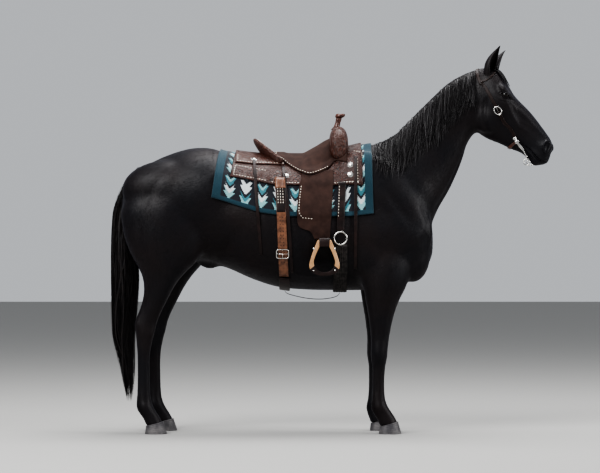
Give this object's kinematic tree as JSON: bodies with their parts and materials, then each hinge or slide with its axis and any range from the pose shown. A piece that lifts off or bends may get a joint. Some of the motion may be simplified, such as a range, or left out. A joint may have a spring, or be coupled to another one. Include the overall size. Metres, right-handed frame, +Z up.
{
  "type": "saddled horse",
  "caption": "Life-size standing black horse in full western tack, a still museum model with a turned head, long mane and hanging tail.",
  "frame": {"origin": "on the ground, at the middle of the model's length and width", "axes": "+X from tail to muzzle, +Z up, +Y to the horse's left"},
  "size_m": [2.4092, 0.68, 2.0951],
  "materials": {
    "coat": "short glossy black hair over skin",
    "mane_hair": "long straight black hair",
    "tail_hair": "long straight black hair",
    "hoof_horn": "dark grey hoof horn, matt",
    "eye": "wet dark brown",
    "blanket_wool": "woven wool",
    "saddle_leather": "oiled, light buckstitching",
    "suede": "rough side out, matt",
    "tooled_leather": "carved and oiled",
    "tan_leather": "carved, satin",
    "dark_leather": "smooth, worn",
    "bridle_leather": "smooth, satin",
    "silver": "engraved, polished",
    "stirrup_wood": "varnished",
    "mohair": "twisted cord strands"
  },
  "bodies": {
    "root": {"bit_left": "silver", "bit_right": "silver", "bridle_crown": "bridle_leather", "cheek_buckle_left": "silver", "cheek_buckle_right": "silver", "cheek_lower_left": "bridle_leather", "cheek_lower_right": "bridle_leather", "cheek_strap_left": "bridle_leather", "cheek_strap_right": "bridle_leather", "cinch_connector": "dark_leather", "cinch_ring_left": "silver", "cinch_ring_right": "silver", "curb_strap": "bridle_leather", "ear_left": "coat", "ear_loop_left": "tan_leather", "ear_loop_right": "tan_leather", "ear_right": "coat", "eye_left": "eye", "eye_right": "eye", "fender_left": "suede", "fender_right": "suede", "flank_billet_left": "tan_leather", "flank_billet_right": "tan_leather", "flank_buckle_left": "silver", "flank_buckle_right": "silver", "flank_cinch": "dark_leather", "foreleg_left": "coat", "foreleg_right": "coat", "forelock": "mane_hair", "front_cinch": "mohair", "head": "coat", "hindleg_left": "coat", "hindleg_right": "coat", "hoof_fore_left": "hoof_horn", "hoof_fore_right": "hoof_horn", "hoof_hind_left": "hoof_horn", "hoof_hind_right": "hoof_horn", "latigo_left": "dark_leather", "latigo_right": "dark_leather", "mane": "mane_hair", "neck": "coat", "rear_jockey": "saddle_leather", "rein_ring_left": "silver", "rein_ring_right": "silver", "saddle_blanket": "blanket_wool", "saddle_cantle": "tooled_leather", "saddle_fork": "tooled_leather", "saddle_horn": "tan_leather", "saddle_seat": "suede", "saddle_skirts": "saddle_leather", "stirrup_left": "stirrup_wood", "stirrup_right": "stirrup_wood", "tail": "tail_hair", "tie_front_left": "dark_leather", "tie_front_right": "dark_leather", "tie_rear_left": "dark_leather", "tie_rear_right": "dark_leather", "tie_seat_left": "dark_leather", "tie_seat_right": "dark_leather", "trunk": "coat"}
  },
  "joints": []
}
